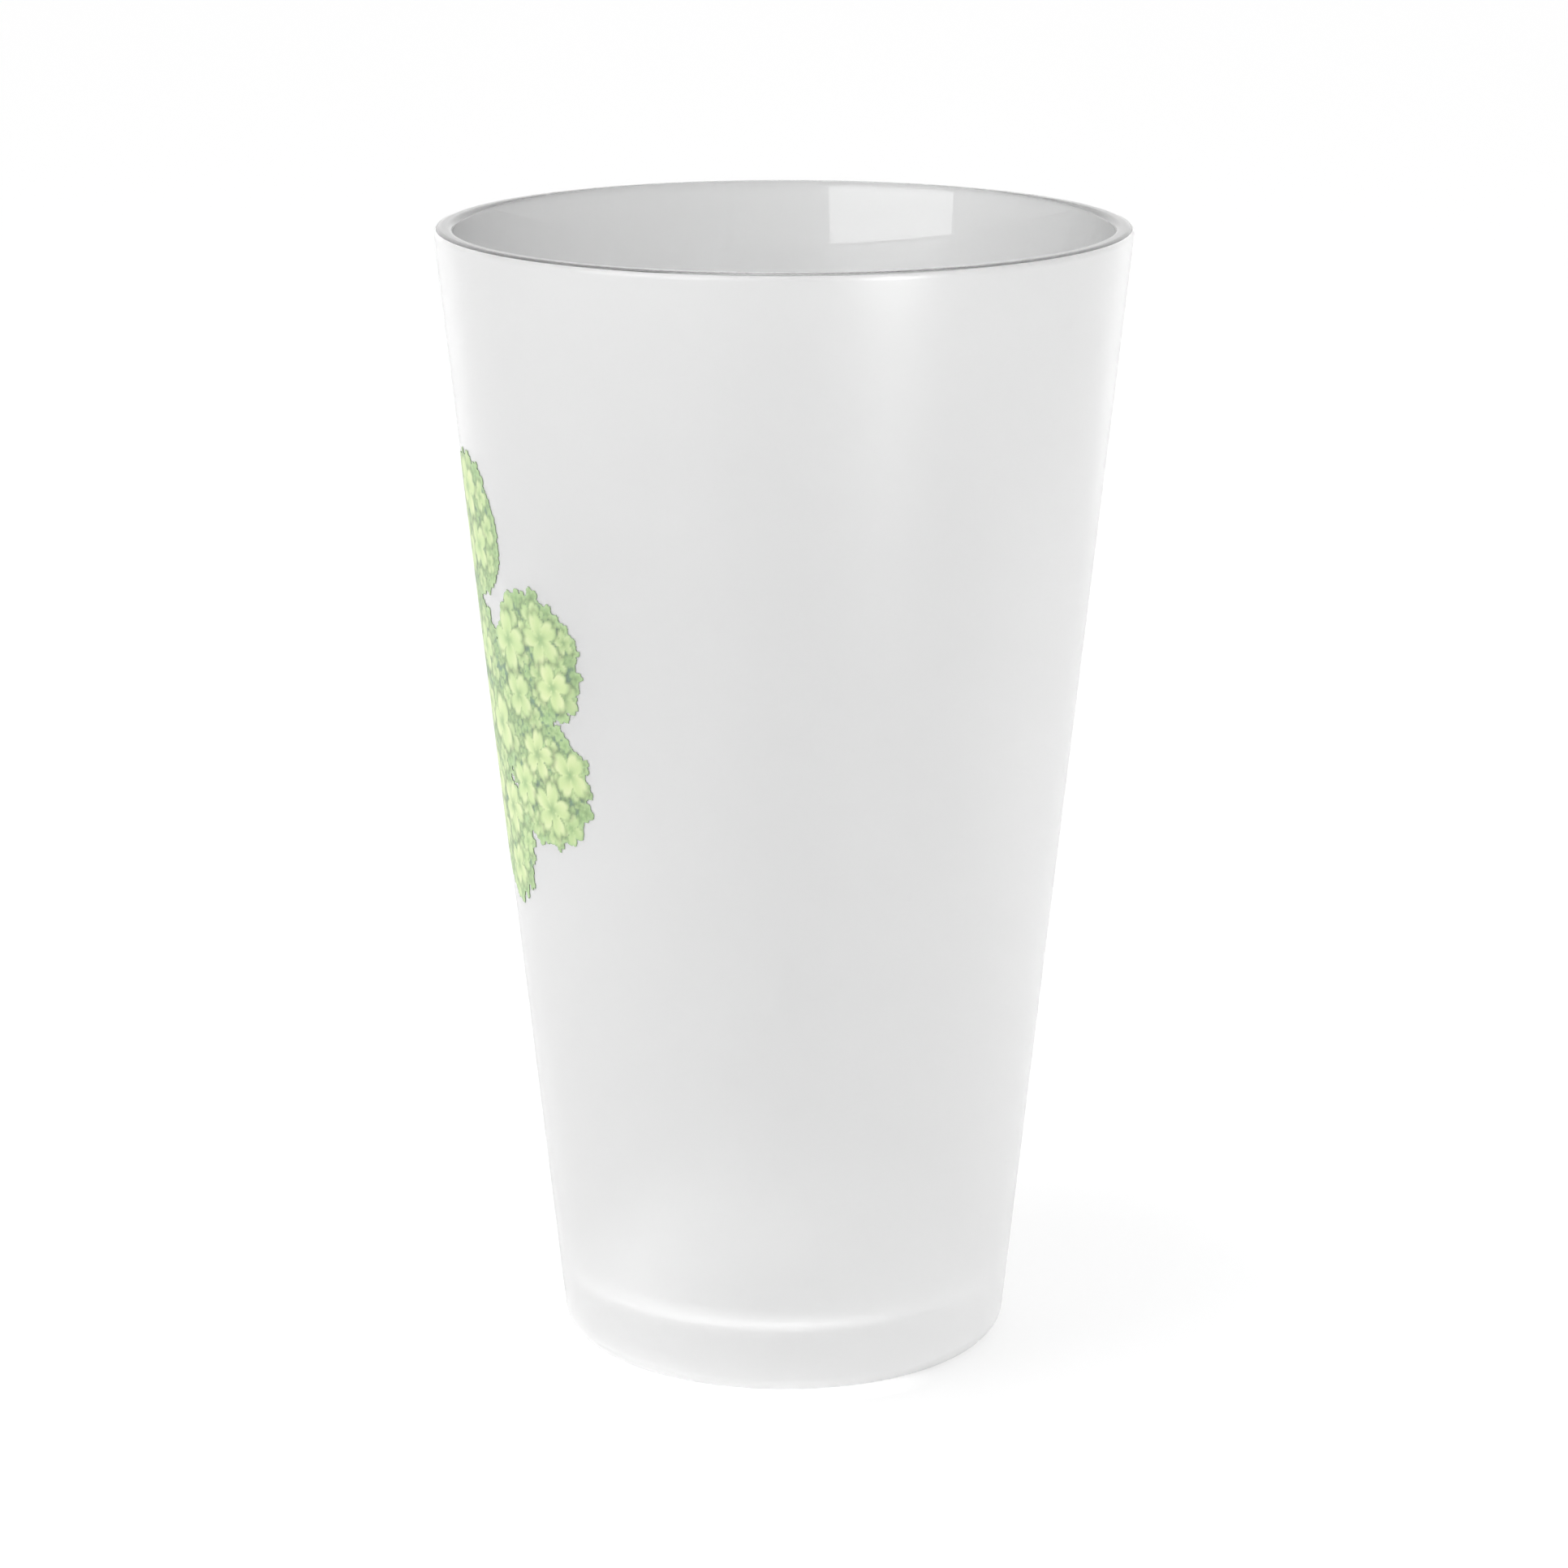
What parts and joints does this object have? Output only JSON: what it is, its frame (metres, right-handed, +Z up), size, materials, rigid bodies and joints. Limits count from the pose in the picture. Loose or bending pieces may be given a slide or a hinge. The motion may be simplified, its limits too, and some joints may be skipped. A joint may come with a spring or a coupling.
{
  "type": "pint glass",
  "caption": "Tapered clear drinking glass with a thick base, a frosted outside below a clear lip, and a printed clover of small clovers on one side.",
  "frame": {"origin": "centre of the foot, on the surface the glass stands on", "axes": "+Z up through the mouth, -Y faces the middle of the print, +X to the right of the print as it is looked at"},
  "size_m": [0.0898, 0.0898, 0.1492],
  "materials": {
    "clear_glass": "clear, fire-polished, glossy",
    "frost": "fine satin frost",
    "print": "opaque printed ink in several greens, low sheen"
  },
  "bodies": {
    "root": {"glass_body": "clear_glass", "frost_coat": "frost", "clover_print": "print"}
  },
  "joints": []
}
